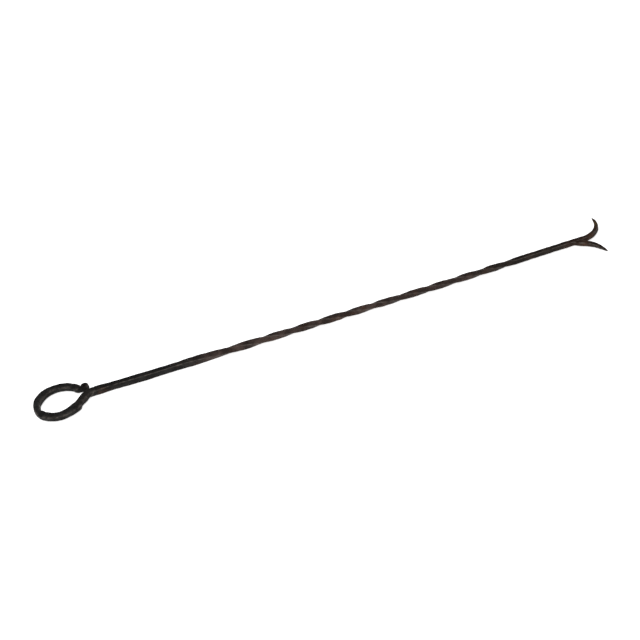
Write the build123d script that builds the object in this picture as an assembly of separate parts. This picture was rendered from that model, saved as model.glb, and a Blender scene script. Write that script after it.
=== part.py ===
from build123d import *
import math
import os

# Hand-forged iron meat hook: a round eye handle, a long square bar with a twisted stretch,
# and two pointed tines at the far end. Lengths are in millimetres and angles in degrees.
# The frame: origin at the centre of the eye, +X along the bar to the tines, +Y to the side
# that the hooked tine bends to, +Z square to the plane of the eye.

# Round handle
EYE_RADIUS = 24.0
RING_WIDTH = 11.2          # radial width of the handle's bar
RING_HEIGHT = 7.9          # height of the handle's bar along Z
RING_EDGE_RADIUS = 2.4
RING_FROM = 48.0           # the drawn-out end leaves the round here, measured from +X
RING_TO = 329.0            # the neck leaves the round here

# Drawn-out end of the handle's bar, rolled outwards into a small scroll
SCROLL_ANGLE = 22.1        # direction of the scroll's centre from the eye centre
SCROLL_STANDOFF = 1.9      # scroll centre beyond the round's outer edge
SCROLL_RADIUS = 3.9        # to the middle of the rolled strip, where the roll begins
SCROLL_TIP_RADIUS = 3.2
SCROLL_FROM = 225.0        # where round the scroll centre the roll begins
SCROLL_TURN = 250.0
STRIP_THICK = 3.9          # rolled strip where the roll begins
STRIP_TIP_THICK = 2.2
STRIP_WIDTH = 7.2          # rolled strip along Z
DRAWN_STATIONS = 5         # sections along the drawn-out arm
SCROLL_STATIONS = 8        # sections round the scroll

# Neck, the slanting stretch between the round and the straight bar
NECK_STANDOFF = 5.8        # inside corner between neck and bar, beyond the round's outer edge
NECK_WIDTH = 9.0
NECK_THROAT_DROP = 3.0     # the throat's corner lies this far down the neck
NECK_THROAT_LENGTH = 9.5
NECK_TOP_SETBACK = 1.0     # the bar's upper edge begins this far before the inside corner
NECK_CHAMFER = 1.2

# Straight bar
BAR_STANDOFF = 9.8         # middle of the scarf weld at the neck, beyond the round's outer edge
BAR_OFFSET = -0.2          # the bar's ends lie this far from the eye centre, along Y
BAR_BEND = [(0.0, 0.0), (0.085, -1.3), (0.6, -2.6), (0.76, -2.4), (0.93, -0.2), (0.97, 0.0)]
                           # share of the bar's length, and how far it bends aside there, along Y
GRIP_LENGTH = 123.0        # plain stretch beside the handle
TWIST_LENGTH = 446.0
TWIST_LEAD_IN = 100.0      # length over which the twist winds up to its full rate
TWIST_TURNS = 2.75
TWIST_STEP = 15.0          # turn between neighbouring sections
PLAIN_LENGTH = 84.0        # plain stretch beside the tines
GRIP_SIDE = 8.1            # side of the square bar beside the handle
TAPER_START_SHARE = 0.13   # the bar starts to thin this far along the twist
TAPER_END_SHARE = 0.41
TWIST_SIDE = 6.8           # side of the square bar past the taper
END_SIDE = 6.2             # side of the square bar at the tines
SCARF_LENGTH = 8.0         # length of each slanting weld along the bar

# Hooked tine
HOOK_BEND_RADIUS = 25.5
HOOK_BEND = 90.0
HOOK_TIP_RADIUS = 36.0     # the last stretch leans back on this larger radius
HOOK_TIP_BEND = 20.0
HOOK_MID_SIDE = 5.5        # side of the tine where it begins to draw down to its point
HOOK_DRAW_FROM = 0.8       # share of the bend after which it draws down

# Spur tine
SPUR_HEEL = 9.0            # its lower edge leaves the underside of the bar this far before the bar's end
SPUR_ROOT_SLOPE = -38.0
SPUR_ROOT_LENGTH = 24.0
SPUR_BEND = -30.5
SPUR_BEND_RADIUS = 64.0
SPUR_ROOT_SIDE = 6.2
SPUR_MID_SIDE = 4.6        # side of the tine where its bend begins

# Both tines
POINT_SIDE = 0.9           # they end in a point this wide
TINE_STATIONS = 16         # sections along each tine

RING_OUTER_RADIUS = EYE_RADIUS + RING_WIDTH
RING_MIDDLE_RADIUS = EYE_RADIUS + RING_WIDTH / 2
NECK_BEND_REACH = RING_OUTER_RADIUS + NECK_STANDOFF
BAR_START = RING_OUTER_RADIUS + BAR_STANDOFF
TWIST_START = BAR_START + GRIP_LENGTH
TWIST_END = TWIST_START + TWIST_LENGTH
BAR_END = TWIST_END + PLAIN_LENGTH


def polar(radius, angle, centre=(0.0, 0.0)):
    """Point in the plane of the eye at a radius and angle round a centre."""
    turn = math.radians(angle)
    return (centre[0] + radius * math.cos(turn), centre[1] + radius * math.sin(turn))


def blend(first, last, share):
    """Value that goes evenly from first to last as share goes from 0 to 1."""
    return first + (last - first) * share


def scarf_plane(x, side):
    """Slanting weld plane across a bar of the given side, facing along the bar."""
    return Plane(origin=(x, 0, 0), x_dir=(0, 1, 0), z_dir=(side, 0, -SCARF_LENGTH))


# ---- round handle ----

def ring_round():
    """Open round of the handle, with softened corners."""
    profile = Plane.XZ * Pos(RING_MIDDLE_RADIUS, 0) * RectangleRounded(
        RING_WIDTH, RING_HEIGHT, RING_EDGE_RADIUS)
    round_bar = revolve(profile, axis=Axis.Z, revolution_arc=RING_TO - RING_FROM)
    return Rot(0, 0, RING_FROM) * round_bar


def drawn_end():
    """End of the handle's bar: drawn thin, then rolled outwards into a scroll."""
    centre = polar(RING_OUTER_RADIUS + SCROLL_STANDOFF, SCROLL_ANGLE)
    entry = polar(SCROLL_RADIUS, SCROLL_FROM, centre)
    entry_radius = math.hypot(*entry)
    entry_angle = math.degrees(math.atan2(entry[1], entry[0]))
    stations = []
    for step in range(DRAWN_STATIONS):
        share = step / DRAWN_STATIONS
        middle = polar(blend(RING_MIDDLE_RADIUS, entry_radius, share ** 1.5),
                       blend(RING_FROM, entry_angle, share))
        stations.append((middle, blend(RING_WIDTH, STRIP_THICK, share)))
    for step in range(SCROLL_STATIONS + 1):
        share = step / SCROLL_STATIONS
        middle = polar(blend(SCROLL_RADIUS, SCROLL_TIP_RADIUS, share),
                       SCROLL_FROM + SCROLL_TURN * share, centre)
        stations.append((middle, blend(STRIP_THICK, STRIP_TIP_THICK, share)))
    entry_tangent = polar(1, RING_FROM - 90)
    exit_tangent = polar(1, SCROLL_FROM + SCROLL_TURN + 90)
    middle_line = Spline(*[middle for middle, _ in stations], tangents=[entry_tangent, exit_tangent])
    inner, outer = [], []
    for middle, thick in stations:
        at = Vector(*middle)
        share = middle_line.param_at_point(at)
        across = middle_line.tangent_at(share).cross(Vector(0, 0, 1)).normalized()
        inner.append(at + across * (thick / 2))
        outer.append(at - across * (thick / 2))
    outline = Spline(*inner) + Spline(*outer) + Line(inner[0], outer[0]) + Line(inner[-1], outer[-1])
    return extrude(make_face(outline), amount=STRIP_WIDTH / 2, both=True)


def neck():
    """Slanting neck from the straight bar to the round; its outer edge runs out along the round."""
    upper = BAR_OFFSET + GRIP_SIDE / 2
    lower = BAR_OFFSET - GRIP_SIDE / 2
    inside_corner = Vector(NECK_BEND_REACH, lower)
    touch = math.degrees(math.atan2(lower, NECK_BEND_REACH)
                         - math.acos(RING_OUTER_RADIUS / inside_corner.length))
    outer_end = Vector(*polar(RING_OUTER_RADIUS, touch))
    along = (outer_end - inside_corner).normalized()
    across = Vector(along.Y, -along.X)
    throat_corner = inside_corner + across * NECK_WIDTH + along * NECK_THROAT_DROP
    throat_step = throat_corner + along * NECK_THROAT_LENGTH
    bar_end = BAR_START + SCARF_LENGTH
    outline = Polyline(
        polar(EYE_RADIUS, RING_TO), throat_step, throat_corner,
        (NECK_BEND_REACH - NECK_TOP_SETBACK, upper),
        (bar_end, upper), (bar_end, lower), inside_corner, outer_end, close=True)
    body = extrude(make_face(outline), amount=RING_HEIGHT / 2, both=True)
    rims = body.edges().filter_by(Plane.XY)
    return chamfer(rims, NECK_CHAMFER)


def ring_handle():
    """Whole handle: round, rolled end and neck, cut off at the weld."""
    body = ring_round() + drawn_end() + neck()
    return split(body, bisect_by=scarf_plane(BAR_START, GRIP_SIDE), keep=Keep.BOTTOM)


# ---- straight bar ----

def twist_angle(x):
    """Turn of the bar's section at x; the twist winds up over its lead-in."""
    done = min(max(x - TWIST_START, 0.0), TWIST_LENGTH)
    full_rate = TWIST_TURNS * 360.0 / (TWIST_LENGTH - TWIST_LEAD_IN / 2)
    if done < TWIST_LEAD_IN:
        return full_rate * done * done / (2 * TWIST_LEAD_IN)
    return full_rate * (done - TWIST_LEAD_IN / 2)


def bar_side(x):
    """Side of the square bar at x."""
    taper_start = TWIST_START + TWIST_LENGTH * TAPER_START_SHARE
    taper_end = TWIST_START + TWIST_LENGTH * TAPER_END_SHARE
    if x < taper_start:
        return GRIP_SIDE
    if x < taper_end:
        return blend(GRIP_SIDE, TWIST_SIDE, (x - taper_start) / (taper_end - taper_start))
    if x < TWIST_END:
        return blend(TWIST_SIDE, END_SIDE, (x - taper_end) / (TWIST_END - taper_end))
    return END_SIDE


def bar_line(x):
    """Y of the bar's middle line at x, by the small bends that the hammer left in it."""
    share = (x - BAR_START) / (BAR_END - BAR_START)
    for (start, first), (end, last) in zip(BAR_BEND, BAR_BEND[1:]):
        if start < share <= end:
            return BAR_OFFSET + blend(first, last, (share - start) / (end - start))
    return BAR_OFFSET


def square_section(plane, side):
    """Square face centred on a plane."""
    return plane * Rectangle(side, side)


def shank():
    """Straight square bar with its twisted stretch, cut to a scarf at each end."""
    steps = round(TWIST_TURNS * 360.0 / TWIST_STEP)
    places = [BAR_START - SCARF_LENGTH]
    places += [BAR_START + GRIP_LENGTH * step / 4 for step in range(4)]
    places += [TWIST_START + TWIST_LENGTH * step / steps for step in range(steps)]
    places += [TWIST_END + PLAIN_LENGTH * step / 5 for step in range(6)]
    places += [BAR_END + SCARF_LENGTH]
    sections = []
    for x in places:
        turn = math.radians(twist_angle(x))
        plane = Plane(origin=(x, bar_line(x), 0), x_dir=(0, math.cos(turn), math.sin(turn)),
                      z_dir=(1, 0, 0))
        sections.append(square_section(plane, bar_side(x)))
    bar = loft(sections, ruled=True)
    bar = split(bar, bisect_by=scarf_plane(BAR_START, GRIP_SIDE), keep=Keep.TOP)
    return split(bar, bisect_by=scarf_plane(BAR_END, END_SIDE), keep=Keep.BOTTOM)


# ---- tines ----

def tapered_bar(path, sides):
    """Square bar along a flat path; its side goes evenly through the given (share, side) pairs."""
    sections = []
    for step in range(TINE_STATIONS + 1):
        share = step / TINE_STATIONS
        for (start, first), (end, last) in zip(sides, sides[1:]):
            if start <= share <= end:
                side = blend(first, last, (share - start) / (end - start))
        plane = Plane(origin=path @ share, x_dir=(0, 0, 1), z_dir=path % share)
        sections.append(square_section(plane, side))
    return loft(sections, ruled=True)


def hook_tine():
    """Tine that bends up to one side and leans back at its point."""
    lead = Line((BAR_END - SCARF_LENGTH, BAR_OFFSET), (BAR_END, BAR_OFFSET))
    bend = JernArc(start=lead @ 1, tangent=lead % 1, radius=HOOK_BEND_RADIUS, arc_size=HOOK_BEND)
    tip = JernArc(start=bend @ 1, tangent=bend % 1, radius=HOOK_TIP_RADIUS, arc_size=HOOK_TIP_BEND)
    path = Wire([lead, bend, tip])
    before_bend = lead.length / path.length
    before_tip = (lead.length + bend.length * HOOK_DRAW_FROM) / path.length
    tine = tapered_bar(path, [(0, END_SIDE), (before_bend, END_SIDE), (before_tip, HOOK_MID_SIDE),
                              (1, POINT_SIDE)])
    return split(tine, bisect_by=scarf_plane(BAR_END, END_SIDE), keep=Keep.TOP)


def spur_tine():
    """Second tine, its root laid against the underside of the bar."""
    along = Vector(*polar(1, SPUR_ROOT_SLOPE))
    across = Vector(-along.Y, along.X)
    heel = Vector(BAR_END - SPUR_HEEL, BAR_OFFSET - END_SIDE / 2)
    start = heel + across * (SPUR_ROOT_SIDE / 2) - along * SPUR_ROOT_SIDE
    root = Line(start, start + along * SPUR_ROOT_LENGTH)
    bend = JernArc(start=root @ 1, tangent=root % 1, radius=SPUR_BEND_RADIUS, arc_size=SPUR_BEND)
    path = Wire([root, bend])
    tine = tapered_bar(path, [(0, SPUR_ROOT_SIDE), (root.length / path.length, SPUR_MID_SIDE),
                              (1, POINT_SIDE)])
    underside = Plane(origin=(0, BAR_OFFSET - END_SIDE / 2, 0), x_dir=(1, 0, 0), z_dir=(0, 1, 0))
    return split(tine, bisect_by=underside, keep=Keep.BOTTOM)


PIECES = {
    "ring_handle": ring_handle,
    "shank": shank,
    "hook_tine": hook_tine,
    "spur_tine": spur_tine,
}

os.makedirs("parts", exist_ok=True)
for name, make in PIECES.items():
    export_step(make(), f"parts/{name}.step")
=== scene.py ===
"""Hand-forged iron meat hook: a round eye handle, a long square bar with a twist, two tines.

Every sub-assembly is made in the smith's order: drawn out as a straight bar, bent over a
former (all but the shank, which is drawn straight), smoothed, cut at its weld, and then
hammered. Size fields are in millimetres and degrees; the meshes are in metres.
"""
import logging
import math
from dataclasses import dataclass, field
from enum import Enum
from typing import Any, Sequence

import bmesh
import bpy
from mathutils import Matrix, Vector


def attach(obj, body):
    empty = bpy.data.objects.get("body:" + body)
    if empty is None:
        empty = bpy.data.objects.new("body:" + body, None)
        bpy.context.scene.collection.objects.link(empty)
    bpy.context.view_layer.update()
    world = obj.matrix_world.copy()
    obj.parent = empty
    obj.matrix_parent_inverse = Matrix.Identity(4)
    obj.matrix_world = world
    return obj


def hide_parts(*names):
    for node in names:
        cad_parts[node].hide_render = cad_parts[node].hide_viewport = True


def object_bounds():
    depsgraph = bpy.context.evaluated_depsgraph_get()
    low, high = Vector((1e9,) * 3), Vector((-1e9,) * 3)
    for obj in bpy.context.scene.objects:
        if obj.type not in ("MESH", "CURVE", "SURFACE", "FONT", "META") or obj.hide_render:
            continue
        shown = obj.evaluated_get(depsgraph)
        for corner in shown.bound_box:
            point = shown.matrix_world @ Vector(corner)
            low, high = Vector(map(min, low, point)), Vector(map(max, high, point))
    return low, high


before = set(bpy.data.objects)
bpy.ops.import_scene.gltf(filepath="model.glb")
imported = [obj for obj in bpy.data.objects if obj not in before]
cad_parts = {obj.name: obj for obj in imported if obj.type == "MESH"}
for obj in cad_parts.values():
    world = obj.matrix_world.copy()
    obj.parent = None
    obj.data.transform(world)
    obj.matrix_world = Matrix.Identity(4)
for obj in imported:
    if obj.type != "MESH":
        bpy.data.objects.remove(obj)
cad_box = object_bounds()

log = logging.getLogger("meat_hook")

MM = 0.001
BODY = "root"
MERGE_DISTANCE = 1e-6           # points closer than this, in metres, are one
CORNER_ANGLE = 50.0             # a straight bar's long corners are sharper than this
CREASE_ANGLE = 42.0             # edges sharper than this stay crisp in the shading
CUT_FACING = 0.999              # a cut's own face points this exactly along the cut
CUT_REACH = 1e-5                # and lies this close to it, in metres
SMALLEST_AREA = 1e-12           # keeps a point with no area round it from dividing by zero
TINE_BLOW_SHARE = 0.6           # the thin tines are struck this much more lightly

Colour = tuple[float, float, float]
Key = tuple[float, ...]


# ---------------------------------------------------------------------------
# Choices
# ---------------------------------------------------------------------------

class Slot(Enum):
    """Material slots of the record."""

    HANDLE = "handle_iron"
    BAR = "bar_iron"
    TINE = "tine_iron"


class Axis(Enum):
    """Axis of the object that a change of colour follows."""

    X = "X"
    Y = "Y"


class Mark(Enum):
    """Kinds of mark that the forge leaves on iron."""

    HAMMER = "VORONOI"
    WAVE = "CLOUDS"
    PITS = "STUCCI"


# ---------------------------------------------------------------------------
# Shapes drawn by numbers
# ---------------------------------------------------------------------------

def flow(keys: Sequence[Key], at: float) -> list[float]:
    """Values at a place, running smoothly through the values given at key places.

    Args:
        keys: Key places in rising order, each followed by its values.
        at: The place that is asked for.

    Returns:
        The values there; beyond the first and last key they stay as they are at that key.
    """
    if at <= keys[0][0]:
        return list(keys[0][1:])
    if at >= keys[-1][0]:
        return list(keys[-1][1:])
    low = max(index for index, key in enumerate(keys) if key[0] <= at)
    high = low + 1
    span = keys[high][0] - keys[low][0]
    share = (at - keys[low][0]) / span
    values = []
    for column in range(1, len(keys[0])):
        slopes = [_slope(keys, index, column) * span for index in (low, high)]
        start, end = keys[low][column], keys[high][column]
        values.append((2 * share ** 3 - 3 * share ** 2 + 1) * start
                      + (share ** 3 - 2 * share ** 2 + share) * slopes[0]
                      + (3 * share ** 2 - 2 * share ** 3) * end
                      + (share ** 3 - share ** 2) * slopes[1])
    return values


def _slope(keys: Sequence[Key], index: int, column: int) -> float:
    """Slope of one column of values at a key.

    Args:
        keys: Key places with their values.
        index: Number of the key.
        column: Number of the value in each key.

    Returns:
        The mean of the slopes on the key's two sides, or the one slope at an end.
    """
    sides = []
    for first, last in ((index - 1, index), (index, index + 1)):
        if first >= 0 and last < len(keys):
            run = keys[last][0] - keys[first][0]
            sides.append((keys[last][column] - keys[first][column]) / run)
    return sum(sides) / len(sides)


def polar(radius: float, angle: float, centre: tuple[float, float] = (0.0, 0.0)) -> tuple[float, float]:
    """Point in the plane of the eye.

    Args:
        radius: Distance from the centre.
        angle: Direction in degrees, from +X towards +Y.
        centre: The centre.

    Returns:
        The point's X and Y.
    """
    turn = math.radians(angle)
    return (centre[0] + radius * math.cos(turn), centre[1] + radius * math.sin(turn))


@dataclass(frozen=True)
class Station:
    """One section of a bar while it lies straight: its place, its size and its turn."""

    along: float
    across: float
    depth: float
    aside: float = 0.0
    turn: float = 0.0


@dataclass(frozen=True)
class BentBar:
    """Middle line of a bent bar through (x, y, across, depth) keys."""

    keys: tuple[Key, ...]
    fine_step: float = 0.2

    def trace(self) -> list[Key]:
        """Walk along the middle line.

        Returns:
            Closely spaced (distance, x, y, across, depth) places, with true distances.
        """
        chords = [0.0]
        for first, last in zip(self.keys, self.keys[1:]):
            chords.append(chords[-1] + math.dist(first[:2], last[:2]))
        keyed = [(chord, *key) for chord, key in zip(chords, self.keys)]
        steps = math.ceil(chords[-1] / self.fine_step)
        places, distance, before = [], 0.0, None
        for step in range(steps + 1):
            values = flow(keyed, chords[-1] * step / steps)
            if before is not None:
                distance += math.dist(before, values[:2])
            before = values[:2]
            places.append((distance, *values))
        return places

    def stations(self, spacing: float) -> list[Station]:
        """Sections of the bar before it is bent.

        Args:
            spacing: Distance between sections along the bar.

        Returns:
            The sections, evenly spaced.
        """
        places = self.trace()
        count = math.ceil(places[-1][0] / spacing)
        sections = []
        for step in range(count + 1):
            distance = places[-1][0] * step / count
            _, _, across, depth = flow_linear(places, distance)
            sections.append(Station(distance, across, depth))
        return sections


def flow_linear(places: Sequence[Key], at: float) -> list[float]:
    """Values at a distance between closely spaced places.

    Args:
        places: Places in rising order, each followed by its values.
        at: The distance that is asked for.

    Returns:
        The values there, by straight proportion.
    """
    low, high = 0, len(places) - 1
    while high - low > 1:
        middle = (low + high) // 2
        if places[middle][0] <= at:
            low = middle
        else:
            high = middle
    run = places[high][0] - places[low][0]
    share = (at - places[low][0]) / run
    return [first + (last - first) * share
            for first, last in zip(places[low][1:], places[high][1:])]


# ---------------------------------------------------------------------------
# The smith's tools
# ---------------------------------------------------------------------------

def lay_down_all() -> None:
    """Leave edit mode and deselect every object."""
    if bpy.context.mode != "OBJECT":
        bpy.ops.object.mode_set(mode="OBJECT")
    bpy.ops.object.select_all(action="DESELECT")


def take_up(piece: bpy.types.Object) -> None:
    """Make a piece the only selected and active object.

    Args:
        piece: The piece.
    """
    lay_down_all()
    piece.select_set(True)
    bpy.context.view_layer.objects.active = piece


def press(piece: bpy.types.Object, modifier: bpy.types.Modifier) -> None:
    """Apply a modifier to its piece."""
    take_up(piece)
    bpy.ops.object.modifier_apply(modifier=modifier.name)


@dataclass(frozen=True)
class Mould:
    """How finely a bar is drawn, and how much its long corners are rounded."""

    spacing: float
    corner_share: float
    flat_cuts: int = 3
    corner_steps: int = 2
    smooth_levels: int = 1


def draw_out(name: str, stations: Sequence[Station], mould: Mould) -> bpy.types.Object:
    """Draw a straight bar along +X, section by section, and round its corners.

    Args:
        name: Name of the new piece.
        stations: Sections of the bar from its start to its end.
        mould: How fine the bar is and how round its corners are.

    Returns:
        The straight bar.
    """
    lay_down_all()
    first = stations[0]
    centre = (first.along * MM, first.aside * MM, 0.0)
    bpy.ops.mesh.primitive_plane_add(size=1.0, location=centre, rotation=(0.0, -math.pi / 2, 0.0))
    bar = bpy.context.object
    bar.name = bar.data.name = name
    bpy.ops.object.transform_apply(location=True, rotation=True, scale=True)
    bpy.ops.object.mode_set(mode="EDIT")
    bpy.ops.mesh.select_mode(type="FACE")
    bpy.ops.mesh.select_all(action="SELECT")
    bpy.ops.transform.resize(value=(1.0, first.across * MM, first.depth * MM), center_override=centre)
    bpy.ops.mesh.subdivide(number_cuts=mould.flat_cuts)
    if first.turn:
        bpy.ops.transform.rotate(value=-math.radians(first.turn), orient_axis="X",
                                 center_override=centre)
    for before, after in zip(stations, stations[1:]):
        _draw_step(before, after)
    bpy.ops.mesh.select_mode(type="EDGE")
    bpy.ops.mesh.select_all(action="DESELECT")
    bpy.ops.mesh.edges_select_sharp(sharpness=math.radians(CORNER_ANGLE))
    bpy.ops.mesh.bevel(offset_type="PERCENT", offset_pct=mould.corner_share,
                       segments=mould.corner_steps, profile=0.5)
    _close_up()
    return bar


def _close_up() -> None:
    """Merge doubled points, turn the normals outwards and leave edit mode."""
    bpy.ops.mesh.select_all(action="SELECT")
    bpy.ops.mesh.remove_doubles(threshold=MERGE_DISTANCE)
    bpy.ops.mesh.normals_make_consistent(inside=False)
    bpy.ops.object.mode_set(mode="OBJECT")


def _draw_step(before: Station, after: Station) -> None:
    """Extrude the open end of a bar from one section to the next.

    Args:
        before: The section that the end stands at.
        after: The section that it is drawn to.
    """
    centre = (after.along * MM, after.aside * MM, 0.0)
    shift = ((after.along - before.along) * MM, (after.aside - before.aside) * MM, 0.0)
    turn = after.turn - before.turn
    bpy.ops.mesh.extrude_region_move(TRANSFORM_OT_translate={"value": shift})
    if turn:
        bpy.ops.transform.rotate(value=-math.radians(turn), orient_axis="X", center_override=centre)
    stretch = (1.0, after.across / before.across, after.depth / before.depth)
    if stretch != (1.0, 1.0, 1.0):
        bpy.ops.transform.resize(value=stretch, center_override=centre)


def bend(bar: bpy.types.Object, line: BentBar) -> None:
    """Bend a straight bar over a former that has the line's shape.

    Args:
        bar: The straight bar, which starts at X = 0.
        line: The middle line that it takes.
    """
    places = line.trace()
    data = bpy.data.curves.new("former", "CURVE")
    data.dimensions = "2D"
    spline = data.splines.new("POLY")
    spline.points.add(len(places) - 1)
    for point, place in zip(spline.points, places):
        point.co = (place[1] * MM, place[2] * MM, 0.0, 1.0)
    former = bpy.data.objects.new("former", data)
    bpy.context.collection.objects.link(former)
    modifier = bar.modifiers.new("bend", "CURVE")
    modifier.object = former
    modifier.deform_axis = "POS_X"
    press(bar, modifier)
    bpy.data.objects.remove(former)
    bpy.data.curves.remove(data)


def smooth(bar: bpy.types.Object, levels: int) -> None:
    """Round a bar off by subdivision.

    Args:
        bar: The bar.
        levels: How many times its faces are divided.
    """
    modifier = bar.modifiers.new("smooth", "SUBSURF")
    modifier.levels = modifier.render_levels = levels
    press(bar, modifier)


@dataclass(frozen=True)
class Cut:
    """A flat cut through a bar: a point on it in millimetres, and the side that is cut away."""

    point: tuple[float, float, float]
    away: tuple[float, float, float]
    rim: float = 0.35


def cut_off(bar: bpy.types.Object, cut: Cut) -> None:
    """Cut the end off a bar, close it, and break the cut's sharp rim.

    Args:
        bar: The bar.
        cut: Where it is cut.
    """
    take_up(bar)
    bpy.ops.object.mode_set(mode="EDIT")
    bpy.ops.mesh.select_mode(type="FACE")
    bpy.ops.mesh.select_all(action="SELECT")
    point = Vector(cut.point) * MM
    normal = Vector(cut.away).normalized()
    bpy.ops.mesh.bisect(plane_co=point, plane_no=normal, use_fill=True, clear_outer=True)
    bpy.ops.mesh.select_all(action="DESELECT")
    form = bmesh.from_edit_mesh(bar.data)
    for face in form.faces:
        flat = face.normal.dot(normal) > CUT_FACING
        near = abs((face.calc_center_median() - point).dot(normal)) < CUT_REACH
        face.select_set(flat and near)
    bmesh.update_edit_mesh(bar.data)
    bpy.ops.mesh.region_to_loop()
    bpy.ops.mesh.select_mode(type="EDGE")
    bpy.ops.mesh.bevel(offset=cut.rim * MM, segments=2, profile=0.5, clamp_overlap=True)
    _close_up()


@dataclass(frozen=True)
class Blow:
    """One kind of forging mark: its size along the iron and its depth."""

    mark: Mark
    size: float
    depth: float
    middle: float = 0.5


HAMMERED = (Blow(Mark.WAVE, 16.0, 0.32), Blow(Mark.HAMMER, 8.5, 0.55, 0.38), Blow(Mark.PITS, 2.6, 0.16))
TINE_HAMMERED = tuple(Blow(blow.mark, blow.size, blow.depth * TINE_BLOW_SHARE, blow.middle)
                      for blow in HAMMERED)


def hammer(bar: bpy.types.Object, blows: Sequence[Blow]) -> None:
    """Leave forging marks in a bar's surface.

    Args:
        bar: The bar.
        blows: The kinds of mark, from the widest to the finest.
    """
    for blow in blows:
        texture = bpy.data.textures.new(blow.mark.name.lower(), blow.mark.value)
        texture.noise_scale = blow.size * MM
        modifier = bar.modifiers.new("marks", "DISPLACE")
        modifier.texture = texture
        modifier.texture_coords = "LOCAL"
        modifier.strength = blow.depth * MM
        modifier.mid_level = blow.middle
        press(bar, modifier)
        bpy.data.textures.remove(texture)


def mark_wear_and_glint(piece: bpy.types.Object, flat: float = 190.0, sharp: float = 620.0,
              spread: int = 2) -> None:
    """Write how strongly each point stands out as an edge into the attribute "worn", the mask for bare worn
    iron and for a painted highlight along the edges.

    Args:
        piece: The piece.
        flat: Curvature in 1/m under which nothing is worn.
        sharp: Curvature in 1/m from which it is fully worn.
        spread: How many times each point is averaged with its neighbours.
    """
    form = bmesh.new()
    form.from_mesh(piece.data)
    form.verts.ensure_lookup_table()
    worn = []
    for vertex in form.verts:
        area = sum(face.calc_area() / len(face.verts) for face in vertex.link_faces)
        turn = sum(edge.calc_face_angle_signed(0.0) * edge.calc_length() / 2
                   for edge in vertex.link_edges)
        curvature = turn / max(area, SMALLEST_AREA)
        worn.append(min(max((curvature - flat) / (sharp - flat), 0.0), 1.0))
    for _ in range(spread):
        worn = [(worn[vertex.index] + sum(worn[edge.other_vert(vertex).index]
                                          for edge in vertex.link_edges) / len(vertex.link_edges)) / 2
                for vertex in form.verts]
    form.free()
    attribute = piece.data.attributes.new("worn", "FLOAT", "POINT")
    attribute.data.foreach_set("value", worn)


def lay_on_frame(piece: bpy.types.Object, node: str) -> None:
    """Give a finished piece its place in the frame.

    Args:
        piece: The piece.
        node: The CAD node that it stands for.
    """
    take_up(piece)
    bpy.ops.object.shade_smooth_by_angle(angle=math.radians(CREASE_ANGLE))
    lay_down_all()
    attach(piece, BODY)
    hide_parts(node)
    corners = [piece.matrix_world @ Vector(corner) for corner in piece.bound_box]
    size = [(max(axis) - min(axis)) / MM for axis in zip(*corners)]
    log.info("%s: %d faces, %.1f x %.1f x %.1f mm", piece.name, len(piece.data.polygons), *size)


def finish_piece(piece: bpy.types.Object, blows: Sequence[Blow], iron: bpy.types.Material, node: str) -> bpy.types.Object:
    """Hammer a forged piece, mark its worn edges (also used for a painted edge highlight), coat it and give
    it its place.

    Args:
        piece: The piece, already bent, smoothed and cut.
        blows: The forging marks that it gets.
        iron: Its material.
        node: The CAD node that it stands for.

    Returns:
        The finished piece.
    """
    hammer(piece, blows)
    mark_wear_and_glint(piece)
    piece.data.materials.append(iron)
    lay_on_frame(piece, node)
    return piece


def forge_bent(name: str, line: BentBar, mould: Mould, cut: Cut) -> bpy.types.Object:
    """Draw a bar out straight, bend it, smooth it and cut it at its weld.

    Args:
        name: Name of the new piece.
        line: The middle line that it is bent to.
        mould: How finely it is drawn.
        cut: Where it is cut.

    Returns:
        The forged bar, not yet hammered.
    """
    bar = draw_out(name, line.stations(mould.spacing), mould)
    bend(bar, line)
    smooth(bar, mould.smooth_levels)
    cut_off(bar, cut)
    return bar


# ---------------------------------------------------------------------------
# Node tools
# ---------------------------------------------------------------------------

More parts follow.
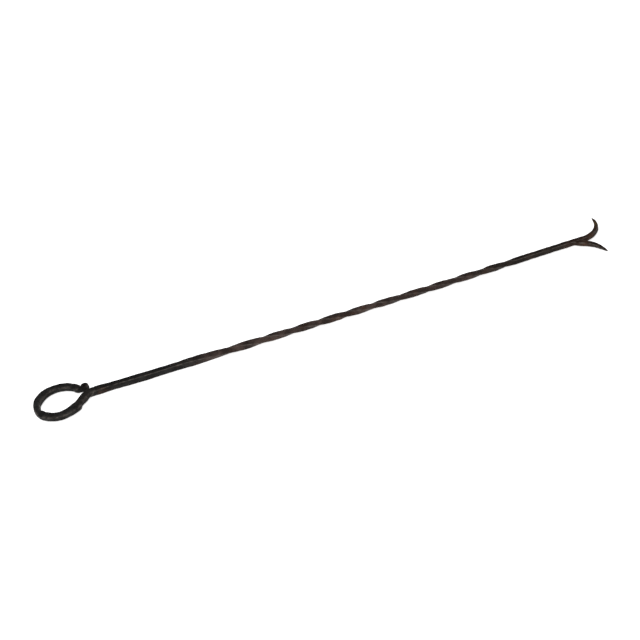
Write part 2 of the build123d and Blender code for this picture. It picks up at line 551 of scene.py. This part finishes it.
class Bench:
    """A node tree being wired, with short ways to add and join its nodes."""

    def __init__(self, tree: bpy.types.NodeTree) -> None:
        """Start with an empty tree."""
        self.tree = tree
        tree.nodes.clear()

    def add(self, kind: str, **settings: Any) -> bpy.types.Node:
        """Add a node.

        Args:
            kind: The node's type without its "ShaderNode" start.
            **settings: Properties that are set on it.

        Returns:
            The node.
        """
        node = self.tree.nodes.new("NodeGroup" + kind if kind in ("Input", "Output")
                                   else "ShaderNode" + kind)
        for name, value in settings.items():
            setattr(node, name, value)
        return node

    def join(self, source: Any, target: bpy.types.NodeSocket) -> None:
        """Feed a socket from another one, or set it to a plain value.

        Args:
            source: A socket, or a plain value.
            target: The socket that takes it.
        """
        if isinstance(source, bpy.types.NodeSocket):
            self.tree.links.new(source, target)
        else:
            target.default_value = source

    def math(self, operation: str, first: Any, second: Any = 0.0, clamp: bool = False) -> Any:
        """Add a sum of two values.

        Args:
            operation: Name of the Math node's operation.
            first: First value or socket.
            second: Second value or socket.
            clamp: Whether the result is kept between 0 and 1.

        Returns:
            The result's socket.
        """
        node = self.add("Math", operation=operation, use_clamp=clamp)
        self.join(first, node.inputs[0])
        self.join(second, node.inputs[1])
        return node.outputs[0]

    def range(self, value: Any, low: float, high: float, to_low: float = 0.0,
              to_high: float = 1.0) -> Any:
        """Add a smooth change from one range to another.

        Args:
            value: The socket that is read.
            low: Where the change starts.
            high: Where it ends.
            to_low: Result at its start.
            to_high: Result at its end.

        Returns:
            The result's socket.
        """
        node = self.add("MapRange", interpolation_type="SMOOTHSTEP")
        for socket, item in zip(node.inputs, (value, low, high, to_low, to_high)):
            self.join(item, socket)
        return node.outputs[0]

    def mix(self, share: Any, first: Any, second: Any, how: str = "MIX") -> Any:
        """Add a mix of two colours.

        Args:
            share: Share of the second colour.
            first: First colour or socket.
            second: Second colour or socket.
            how: Name of the blend type.

        Returns:
            The result's socket.
        """
        node = self.add("Mix", data_type="RGBA", blend_type=how)
        self.join(share, node.inputs[0])
        for socket, colour in ((node.inputs[6], first), (node.inputs[7], second)):
            self.join((*colour, 1.0) if isinstance(colour, tuple) else colour, socket)
        return node.outputs[2]

    def noise(self, place: Any, scale: Any, detail: float, rough: float) -> Any:
        """Add a noise pattern.

        Args:
            place: Coordinates.
            scale: Patterns per metre.
            detail: Number of finer layers.
            rough: Strength of the finer layers.

        Returns:
            The pattern's socket.
        """
        node = self.add("TexNoise")
        self.join(place, node.inputs["Vector"])
        self.join(scale, node.inputs["Scale"])
        node.inputs["Detail"].default_value = detail
        node.inputs["Roughness"].default_value = rough
        return node.outputs["Fac"]

    def object_place(self) -> Any:
        """Coordinates in the object's own frame."""
        return self.add("TexCoord").outputs["Object"]


def new_group(name: str, inputs: dict[str, float], outputs: Sequence[str]) -> bpy.types.NodeTree:
    """Make an empty shader node group with number sockets.

    Args:
        name: Its name.
        inputs: Names of its inputs, with their usual values.
        outputs: Names of its outputs.

    Returns:
        The group.
    """
    group = bpy.data.node_groups.new(name, "ShaderNodeTree")
    for label, value in inputs.items():
        socket = group.interface.new_socket(label, in_out="INPUT", socket_type="NodeSocketFloat")
        socket.default_value = value
    for label in outputs:
        group.interface.new_socket(label, in_out="OUTPUT", socket_type="NodeSocketFloat")
    return group


@dataclass(frozen=True)
class ForgeScale:
    """Black fire scale on forged iron: broad clouds, fine grain and small pits."""

    cloud_per_metre: float = 75.0
    cloud_layers: tuple[float, float] = (5.0, 0.62)
    cloud_range: tuple[float, float] = (0.34, 0.68)
    grain_per_metre: float = 620.0
    grain_layers: tuple[float, float] = (7.0, 0.7)
    grain_range: tuple[float, float] = (0.3, 0.72)
    grain_height: float = 0.6
    pit_per_metre: float = 330.0
    pit_range: tuple[float, float] = (0.12, 0.42)
    pitted_clouds: tuple[float, float] = (0.45, 0.62)

    def group(self) -> bpy.types.NodeTree:
        """Build the node group.

        Returns:
            A group that gives Cloud and Grain masks and the surface Height.
        """
        tree = new_group("forge_scale", {"Fineness": 1.0, "Pitting": 0.5}, ("Cloud", "Grain", "Height"))
        bench = Bench(tree)
        given = bench.add("Input")
        result = bench.add("Output")
        place = bench.object_place()
        fineness = given.outputs["Fineness"]
        cloud = bench.noise(place, bench.math("MULTIPLY", fineness, self.cloud_per_metre),
                            *self.cloud_layers)
        grain = bench.noise(place, bench.math("MULTIPLY", fineness, self.grain_per_metre),
                            *self.grain_layers)
        pits = bench.add("TexVoronoi", feature="SMOOTH_F1")
        bench.join(place, pits.inputs["Vector"])
        bench.join(bench.math("MULTIPLY", fineness, self.pit_per_metre), pits.inputs["Scale"])
        hollow = bench.range(pits.outputs["Distance"], *self.pit_range, 1.0, 0.0)
        sparse = bench.range(cloud, *self.pitted_clouds)
        pitted = bench.math("MULTIPLY", bench.math("MULTIPLY", hollow, sparse), given.outputs["Pitting"])
        height = bench.math("SUBTRACT", bench.math("MULTIPLY", grain, self.grain_height), pitted)
        bench.join(bench.range(cloud, *self.cloud_range), result.inputs["Cloud"])
        bench.join(bench.range(grain, *self.grain_range), result.inputs["Grain"])
        bench.join(height, result.inputs["Height"])
        return tree


@dataclass(frozen=True)
class EdgeWearAndGlint:
    """Lighter colour on the corners: bare iron where hands and hooks have rubbed them, and a painted
    highlight along the edges.
    """

    patch_per_metre: float = 140.0
    patch_layers: tuple[float, float] = (4.0, 0.6)
    patch_range: tuple[float, float] = (0.34, 0.66)

    def group(self) -> bpy.types.NodeTree:
        """Build the node group.

        Returns:
            A group that gives the Mask of worn edges.
        """
        tree = new_group("edge_wear_and_glint", {"Amount": 0.5}, ("Mask",))
        bench = Bench(tree)
        given = bench.add("Input")
        result = bench.add("Output")
        edge = bench.add("Attribute", attribute_name="worn").outputs["Fac"]
        patches = bench.noise(bench.object_place(), self.patch_per_metre, *self.patch_layers)
        broken = bench.range(patches, *self.patch_range)
        mask = bench.math("MULTIPLY", bench.math("MULTIPLY", edge, broken), given.outputs["Amount"])
        bench.join(mask, result.inputs["Mask"])
        return tree


@dataclass(frozen=True)
class RustBloom:
    """Thin brown rust in soft patches with grainy borders."""

    patch_per_metre: float = 55.0
    patch_layers: tuple[float, float] = (4.0, 0.6)
    patch_share: float = 0.7
    grain_per_metre: float = 420.0
    grain_layers: tuple[float, float] = (5.0, 0.65)
    grain_share: float = 0.3
    rust_range: tuple[float, float] = (0.82, 1.08)

    def group(self) -> bpy.types.NodeTree:
        """Build the node group.

        Returns:
            A group that gives the Mask of rusted iron.
        """
        tree = new_group("rust_bloom", {"Amount": 0.4}, ("Mask",))
        bench = Bench(tree)
        given = bench.add("Input")
        result = bench.add("Output")
        place = bench.object_place()
        patches = bench.noise(place, self.patch_per_metre, *self.patch_layers)
        grain = bench.noise(place, self.grain_per_metre, *self.grain_layers)
        both = bench.math("ADD", bench.math("MULTIPLY", patches, self.patch_share),
                          bench.math("MULTIPLY", grain, self.grain_share))
        lifted = bench.math("ADD", both, given.outputs["Amount"])
        bench.join(bench.range(lifted, *self.rust_range), result.inputs["Mask"])
        return tree


@dataclass(frozen=True)
class Effects:
    """The shared node groups, built once."""

    scale: bpy.types.NodeTree
    wear_and_glint: bpy.types.NodeTree
    rust: bpy.types.NodeTree

    @classmethod
    def build(cls) -> "Effects":
        """Build every shared group."""
        return cls(ForgeScale().group(), EdgeWearAndGlint().group(), RustBloom().group())


# ---------------------------------------------------------------------------
# Finishes
# ---------------------------------------------------------------------------

@dataclass(frozen=True)
class IronFinish:
    """Blackened forged iron as it looks on one sub-assembly."""

    name: str
    tints: tuple[tuple[float, Colour], ...]
    axis: Axis = Axis.X
    rust: Colour = (0.075, 0.034, 0.018)
    rust_amount: float = 0.35
    # Edge colour: bare worn iron and a painted highlight on the corners.
    worn: Colour = (0.15, 0.13, 0.115)
    wear_and_glint: float = 0.6
    fineness: float = 1.0
    pitting: float = 0.7
    cloud_dark: float = 0.62
    grain_dark: float = 0.72
    grain_light: float = 1.3
    smooth_roughness: float = 0.44
    rough_roughness: float = 0.7
    rust_roughness: float = 0.12
    worn_smoothness: float = 0.16
    metallic: float = 0.1
    worn_metallic: float = 0.5
    specular: float = 0.07
    bump_depth: float = 0.0004
    bump_strength: float = 0.8

    def build(self, effects: Effects) -> bpy.types.Material:
        """Build the material.

        Args:
            effects: The shared node groups.

        Returns:
            The material.
        """
        material = bpy.data.materials.new(self.name)
        material.use_nodes = True
        bench = Bench(material.node_tree)
        scale = bench.add("Group", node_tree=effects.scale)
        bench.join(self.fineness, scale.inputs["Fineness"])
        bench.join(self.pitting, scale.inputs["Pitting"])
        wear_and_glint = bench.add("Group", node_tree=effects.wear_and_glint)
        bench.join(self.wear_and_glint, wear_and_glint.inputs["Amount"])
        rust = bench.add("Group", node_tree=effects.rust)
        bench.join(self.rust_amount, rust.inputs["Amount"])
        shader = bench.add("BsdfPrincipled")
        bench.join(self._colour(bench, scale, wear_and_glint, rust), shader.inputs["Base Color"])
        grained = bench.range(scale.outputs["Grain"], 0.0, 1.0, self.smooth_roughness, self.rough_roughness)
        rusted = bench.math("MULTIPLY", rust.outputs["Mask"], self.rust_roughness)
        rubbed = bench.math("MULTIPLY", wear_and_glint.outputs["Mask"], self.worn_smoothness)
        roughness = bench.math("SUBTRACT", bench.math("ADD", grained, rusted), rubbed, clamp=True)
        bench.join(roughness, shader.inputs["Roughness"])
        bared = bench.math("MULTIPLY", wear_and_glint.outputs["Mask"], self.worn_metallic)
        bench.join(bench.math("ADD", bared, self.metallic, clamp=True), shader.inputs["Metallic"])
        shader.inputs["Specular IOR Level"].default_value = self.specular
        bump = bench.add("Bump")
        bump.inputs["Strength"].default_value = self.bump_strength
        bump.inputs["Distance"].default_value = self.bump_depth
        bench.join(scale.outputs["Height"], bump.inputs["Height"])
        bench.join(bump.outputs["Normal"], shader.inputs["Normal"])
        bench.join(shader.outputs["BSDF"], bench.add("OutputMaterial").inputs["Surface"])
        return material

    def _colour(self, bench: Bench, scale: bpy.types.Node, wear_and_glint: bpy.types.Node,
                rust: bpy.types.Node) -> Any:
        """Wire the colour: scale that changes along the iron, with painted light in some of its tints, then
        rust, then worn edges that also carry a painted highlight.

        Args:
            bench: The material's tree.
            scale: The placed forge scale group.
            wear_and_glint: The placed edge wear group.
            rust: The placed rust group.

        Returns:
            The colour's socket.
        """
        axes = bench.add("SeparateXYZ")
        bench.join(bench.object_place(), axes.inputs[0])
        first, last = self.tints[0][0], self.tints[-1][0]
        share = bench.add("MapRange")
        for socket, item in zip(share.inputs, (axes.outputs[self.axis.value], first * MM, last * MM)):
            bench.join(item, socket)
        ramp = bench.add("ValToRGB")
        ramp.color_ramp.interpolation = "EASE"
        stops = ramp.color_ramp.elements
        for index, (place, colour) in enumerate(self.tints):
            position = (place - first) / (last - first)
            stop = stops[index] if index < 2 else stops.new(position)
            stop.position = position
            stop.color = (*colour, 1.0)
        bench.join(share.outputs[0], ramp.inputs[0])
        # Random cloudy mottling of the scale: darker and lighter patches.
        clouded = bench.range(scale.outputs["Cloud"], 0.0, 1.0, self.cloud_dark, 1.0 / self.cloud_dark)
        grained = bench.range(scale.outputs["Grain"], 0.0, 1.0, self.grain_dark, self.grain_light)
        grey = bench.math("MULTIPLY", clouded, grained)
        skin = bench.mix(1.0, ramp.outputs["Color"], grey, "MULTIPLY")
        rusted = bench.mix(rust.outputs["Mask"], skin, self.rust)
        # Lighter edges: bare worn iron and a painted highlight on the corners.
        return bench.mix(wear_and_glint.outputs["Mask"], rusted, self.worn)


HANDLE_IRON = IronFinish(
    name="handle_scale",
    tints=((-36.0, (0.0135, 0.0132, 0.0128)), (16.0, (0.013, 0.0125, 0.012)),
           (36.0, (0.0115, 0.0097, 0.0088)), (60.0, (0.0105, 0.0098, 0.0092))),
    rust=(0.05, 0.026, 0.017), rust_amount=0.24, pitting=0.8)

BAR_IRON = IronFinish(
    name="bar_scale_and_facet_light",
    tints=((40.0, (0.0118, 0.0108, 0.0102)), (160.0, (0.0105, 0.0104, 0.01)),
           # Lighter warm brown from X 215 to 530 mm: the twist's own brown scale, lightened as painted
           # light on its turned facets.
           (215.0, (0.0345, 0.0238, 0.0205)), (530.0, (0.035, 0.0238, 0.0205)),
           (590.0, (0.0175, 0.0133, 0.0108)), (665.0, (0.0172, 0.013, 0.0103)),
           (700.0, (0.0295, 0.0158, 0.0108))),
    rust_amount=0.3)

HOOK_IRON = IronFinish(
    name="hook_scale_and_highlight", axis=Axis.Y,
    tints=((-4.0, (0.028, 0.0155, 0.0098)), (8.0, (0.0215, 0.0155, 0.0125)),
           # The light golden stop at Y 24 mm is a painted highlight on the hook's outer bend, over its
           # golden-brown tone.
           (24.0, (0.048, 0.0295, 0.0105)), (38.0, (0.024, 0.0165, 0.012))),
    rust_amount=0.36)

SPUR_IRON = IronFinish(
    name="spur_scale", axis=Axis.Y,
    tints=((-40.0, (0.018, 0.013, 0.0105)), (-18.0, (0.0175, 0.0118, 0.0088)),
           (-2.0, (0.027, 0.0138, 0.0088))),
    rust_amount=0.36)


# ---------------------------------------------------------------------------
# Sub-assemblies
# ---------------------------------------------------------------------------

@dataclass
class RingHandle:
    """Round eye handle: neck, round and the drawn end that is rolled into a small scroll."""

    depth: float = 7.9
    neck: tuple[Key, ...] = (
        (60.0, -0.5, 9.6, 8.1), (52.0, -0.4, 10.4, 8.1), (45.0, -0.3, 10.6, 8.1),
        (39.6, -1.5, 10.3, 8.0), (35.4, -5.0, 10.9, 7.9), (31.8, -9.8, 11.4, 7.9))
    round_keys: tuple[tuple[float, float, float], ...] = (
        (-34.0, 25.6, 36.2), (-40.0, 23.9, 38.0), (-48.0, 23.3, 37.5), (-62.0, 23.2, 36.5),
        (-76.0, 23.6, 35.8), (-92.0, 23.8, 35.1), (-108.0, 23.4, 34.0), (-124.0, 22.8, 33.6),
        (-138.0, 23.5, 34.1), (-148.0, 23.8, 34.3), (-154.5, 26.3, 34.3), (-170.0, 25.9, 34.6),
        (-182.0, 25.8, 34.9), (-192.0, 26.3, 35.7), (-200.0, 26.0, 36.7), (-209.0, 25.6, 37.2),
        (-222.0, 25.0, 37.4), (-238.0, 25.1, 36.9), (-252.0, 24.5, 35.2), (-267.0, 24.0, 33.9),
        (-282.0, 22.9, 32.8), (-297.0, 23.0, 32.5), (-310.0, 23.6, 32.2), (-321.0, 24.4, 33.4),
        (-332.0, 25.1, 34.5), (-337.6, 28.5, 35.3))
    scroll_centre: tuple[float, float] = (34.4, 14.0)
    scroll: tuple[tuple[float, float, float], ...] = (
        (240.0, 3.9, 4.6), (272.0, 3.9, 4.2), (315.0, 4.1, 4.1), (360.0, 4.4, 4.2),
        (405.0, 4.0, 4.2), (450.0, 3.3, 4.1), (490.0, 2.9, 3.9), (525.0, 2.4, 3.4))
    strip_width: float = 7.2
    weld_x: float = 45.0
    weld_side: float = 8.1
    weld_run: float = 8.0
    mould: Mould = field(default_factory=lambda: Mould(spacing=1.5, corner_share=80.0))

    def line(self) -> BentBar:
        """Middle line from the weld round to the scroll's tip.

        Returns:
            The bent bar's line with its widths.
        """
        keys = list(self.neck)
        for angle, inner, outer in self.round_keys:
            keys.append((*polar((inner + outer) / 2, angle), outer - inner, self.depth))
        for angle, radius, thick in self.scroll:
            keys.append((*polar(radius, angle, self.scroll_centre), thick, self.strip_width))
        return BentBar(tuple(keys))

    def build(self, finish: bpy.types.Material) -> bpy.types.Object:
        """Forge the handle.

        Args:
            finish: Its material.

        Returns:
            The finished piece.
        """
        cut = Cut((self.weld_x, 0.0, 0.0), (self.weld_side, 0.0, -self.weld_run))
        handle = forge_bent("eye_handle", self.line(), self.mould, cut)
        return finish_piece(handle, HAMMERED, finish, "ring_handle")


@dataclass
class Shank:
    """Long square bar: plain grip, twisted middle and plain end, cut on a slant at both welds."""

    start: float = 36.0
    end: float = 707.0
    middle: float = -0.2
    sides: tuple[Key, ...] = (
        (36.0, 10.4, 8.1), (50.0, 10.5, 8.1), (57.0, 10.0, 8.2), (67.0, 8.4, 8.3),
        (112.0, 8.5, 8.5), (158.0, 8.0, 8.0), (174.0, 8.85, 8.7), (198.0, 8.5, 8.5),
        (214.0, 8.15, 8.15), (228.0, 8.05, 8.05), (262.0, 7.8, 7.8), (300.0, 7.4, 7.4), (380.0, 7.15, 7.15),
        (470.0, 6.85, 6.85), (600.0, 6.65, 6.65), (640.0, 6.35, 6.35), (707.0, 6.2, 6.2))
    sags: tuple[Key, ...] = (
        (36.0, -0.1), (58.0, -0.35), (93.0, -1.35), (125.0, -1.85), (160.0, -1.65), (220.0, -1.9),
        (330.0, -2.3), (440.0, -2.55), (500.0, -2.6), (545.0, -2.25), (590.0, -1.5), (632.0, -0.6),
        (672.0, -0.05), (707.0, 0.0))
    turns: tuple[Key, ...] = (
        (168.0, 0.0), (178.0, 2.0), (205.0, 24.0), (230.0, 54.0), (275.0, 143.0), (315.0, 234.0),
        (387.0, 414.0), (459.0, 594.0), (531.0, 774.0), (599.0, 954.0), (612.0, 987.0), (620.0, 990.0))
    near_weld: tuple[float, float] = (45.0, 8.1)
    far_weld: tuple[float, float] = (698.0, 6.2)
    weld_run: float = 8.0
    mould: Mould = field(default_factory=lambda: Mould(spacing=1.6, corner_share=27.0))

    def stations(self) -> list[Station]:
        """Sections of the bar.

        Returns:
            The sections, evenly spaced from end to end.
        """
        count = math.ceil((self.end - self.start) / self.mould.spacing)
        sections = []
        for step in range(count + 1):
            x = self.start + (self.end - self.start) * step / count
            across, depth = flow(self.sides, x)
            sections.append(Station(x, across, depth, self.middle + flow(self.sags, x)[0],
                                    flow(self.turns, x)[0]))
        return sections

    def build(self, finish: bpy.types.Material) -> bpy.types.Object:
        """Forge the bar.

        Args:
            finish: Its material.

        Returns:
            The finished piece.
        """
        bar = draw_out("twisted_bar", self.stations(), self.mould)
        smooth(bar, self.mould.smooth_levels)
        near_x, near_side = self.near_weld
        far_x, far_side = self.far_weld
        cut_off(bar, Cut((near_x, 0.0, 0.0), (-near_side, 0.0, self.weld_run)))
        cut_off(bar, Cut((far_x, 0.0, 0.0), (far_side, 0.0, -self.weld_run)))
        return finish_piece(bar, HAMMERED, finish, "shank")


@dataclass
class HookTine:
    """Hooked tine: the bar's end bent up through a right angle and drawn to a point."""

    keys: tuple[Key, ...] = (
        (688.0, -0.2, 6.2, 6.2), (698.0, -0.3, 6.3, 6.2), (706.9, 0.9, 6.2, 6.1),
        (714.7, 4.9, 5.9, 6.0), (720.3, 11.4, 5.4, 5.8), (722.75, 18.6, 5.0, 5.4),
        (723.1, 25.6, 4.1, 4.5), (722.5, 31.4, 2.8, 3.1), (721.5, 36.0, 1.4, 1.4),
        (721.1, 37.6, 0.6, 0.6))
    weld: tuple[float, float] = (698.0, 6.2)
    weld_run: float = 8.0
    mould: Mould = field(default_factory=lambda: Mould(spacing=1.0, corner_share=55.0))

    def build(self, finish: bpy.types.Material) -> bpy.types.Object:
        """Forge the tine.

        Args:
            finish: Its material.

        Returns:
            The finished piece.
        """
        weld_x, weld_side = self.weld
        cut = Cut((weld_x, 0.0, 0.0), (-weld_side, 0.0, self.weld_run))
        tine = forge_bent("hooked_tine", BentBar(self.keys), self.mould, cut)
        return finish_piece(tine, TINE_HAMMERED, finish, "hook_tine")


@dataclass
class SpurTine:
    """Second tine, its root laid against the underside of the bar."""

    keys: tuple[Key, ...] = (
        (686.0, 2.9, 6.6, 6.2), (695.3, -4.7, 7.0, 6.2), (705.0, -11.6, 5.7, 5.8),
        (710.8, -16.9, 5.1, 5.3), (715.9, -23.2, 4.3, 4.5), (720.3, -30.2, 3.1, 3.2),
        (723.8, -37.0, 1.4, 1.3), (724.5, -38.4, 0.6, 0.6))
    underside: float = -3.3
    mould: Mould = field(default_factory=lambda: Mould(spacing=1.0, corner_share=55.0))

    def build(self, finish: bpy.types.Material) -> bpy.types.Object:
        """Forge the tine.

        Args:
            finish: Its material.

        Returns:
            The finished piece.
        """
        cut = Cut((0.0, self.underside, 0.0), (0.0, 1.0, 0.0))
        tine = forge_bent("spur_tine_forged", BentBar(self.keys), self.mould, cut)
        return finish_piece(tine, TINE_HAMMERED, finish, "spur_tine")


# ---------------------------------------------------------------------------
# Studio
# ---------------------------------------------------------------------------

@dataclass(frozen=True)
class SoftLight:
    """A large soft lamp: where it stands, what it points at, its size in metres and power."""

    name: str
    place: tuple[float, float, float]
    target: tuple[float, float, float]
    size: float
    power: float

    def build(self) -> bpy.types.Object:
        """Hang the lamp.

        Returns:
            The lamp.
        """
        lay_down_all()
        turn = (Vector(self.target) - Vector(self.place)).to_track_quat("-Z", "Y").to_euler()
        bpy.ops.object.light_add(type="AREA", location=self.place, rotation=turn)
        lamp = bpy.context.object
        lamp.name = self.name
        lamp.data.shape = "DISK"
        lamp.data.size = self.size
        lamp.data.energy = self.power
        return lamp


@dataclass
class Studio:
    """Pale floor, soft lamps and a long lens."""

    floor_size: float = 16.0
    floor_colour: Colour = (0.9, 0.9, 0.9)
    air_colour: Colour = (1.0, 1.0, 1.0)
    air_strength: float = 0.3
    backdrop_strength: float = 1.0
    glow: float = 0.85
    floor_roughness: float = 0.9
    floor_specular: float = 0.1
    lamps: tuple[SoftLight, ...] = (
        SoftLight("overhead", (0.35, -0.6, 2.4), (0.35, 0.0, 0.0), 2.4, 36.0),
        SoftLight("window_side", (-1.0, -1.9, 1.3), (0.3, 0.0, 0.0), 1.2, 15.0))
    aim: tuple[float, float, float] = (0.3523, 0.0021, -0.0002)
    azimuth: float = 5.0
    elevation: float = 36.82
    roll: float = -20.24
    distance: float = 2.7232
    lens: float = 120.0
    sensor: float = 36.0

    def lay_floor(self) -> None:
        """Lay the floor just under the object."""
        lay_down_all()
        level = cad_box[0][2]
        bpy.ops.mesh.primitive_grid_add(x_subdivisions=4, y_subdivisions=4, size=self.floor_size,
                                        location=(self.aim[0], self.aim[1], level))
        floor = bpy.context.object
        floor.name = "studio_floor"
        bpy.ops.object.transform_apply(location=True, rotation=True, scale=True)
        material = bpy.data.materials.new("pale_floor")
        material.use_nodes = True
        shader = material.node_tree.nodes["Principled BSDF"]
        shader.inputs["Base Color"].default_value = (*self.floor_colour, 1.0)
        shader.inputs["Roughness"].default_value = self.floor_roughness
        shader.inputs["Specular IOR Level"].default_value = self.floor_specular
        shader.inputs["Emission Color"].default_value = (*self.floor_colour, 1.0)
        shader.inputs["Emission Strength"].default_value = self.glow
        floor.data.materials.append(material)

    def light(self) -> None:
        """Set the even light of the air and hang the lamps."""
        world = bpy.data.worlds.new("studio_air")
        world.use_nodes = True
        bench = Bench(world.node_tree)
        seen = bench.add("MixShader")
        bench.join(bench.add("LightPath").outputs["Is Camera Ray"], seen.inputs[0])
        for socket, strength in zip(seen.inputs[1:], (self.air_strength, self.backdrop_strength)):
            background = bench.add("Background")
            background.inputs["Color"].default_value = (*self.air_colour, 1.0)
            background.inputs["Strength"].default_value = strength
            bench.join(background.outputs[0], socket)
        bench.join(seen.outputs[0], bench.add("OutputWorld").inputs["Surface"])
        bpy.context.scene.world = world
        bpy.context.scene.view_settings.view_transform = "Standard"
        for lamp in self.lamps:
            lamp.build()

    def set_camera(self) -> bpy.types.Object:
        """Place the camera.

        Returns:
            The camera.
        """
        lay_down_all()
        azimuth, elevation = math.radians(self.azimuth), math.radians(self.elevation)
        back = Vector((math.cos(elevation) * math.sin(azimuth),
                       -math.cos(elevation) * math.cos(azimuth), math.sin(elevation)))
        right = (-back).cross(Vector((0.0, 0.0, 1.0))).normalized()
        upright = Matrix((right, back.cross(right), back)).transposed()
        turn = upright @ Matrix.Rotation(math.radians(self.roll), 3, "Z")
        bpy.ops.object.camera_add(location=Vector(self.aim) + back * self.distance,
                                  rotation=turn.to_euler())
        camera = bpy.context.object
        camera.name = "studio_camera"
        camera.data.lens = self.lens
        camera.data.sensor_width = self.sensor
        camera.data.dof.use_dof = False
        bpy.context.scene.camera = camera
        return camera


def main() -> None:
    """Build the hook and its studio."""
    logging.basicConfig(level=logging.INFO, format="%(name)s: %(message)s")
    studio = Studio()
    studio.set_camera()
    effects = Effects.build()
    RingHandle().build(HANDLE_IRON.build(effects))
    Shank().build(BAR_IRON.build(effects))
    HookTine().build(HOOK_IRON.build(effects))
    SpurTine().build(SPUR_IRON.build(effects))
    studio.lay_floor()
    studio.light()


if __name__ == "__main__":
    main()
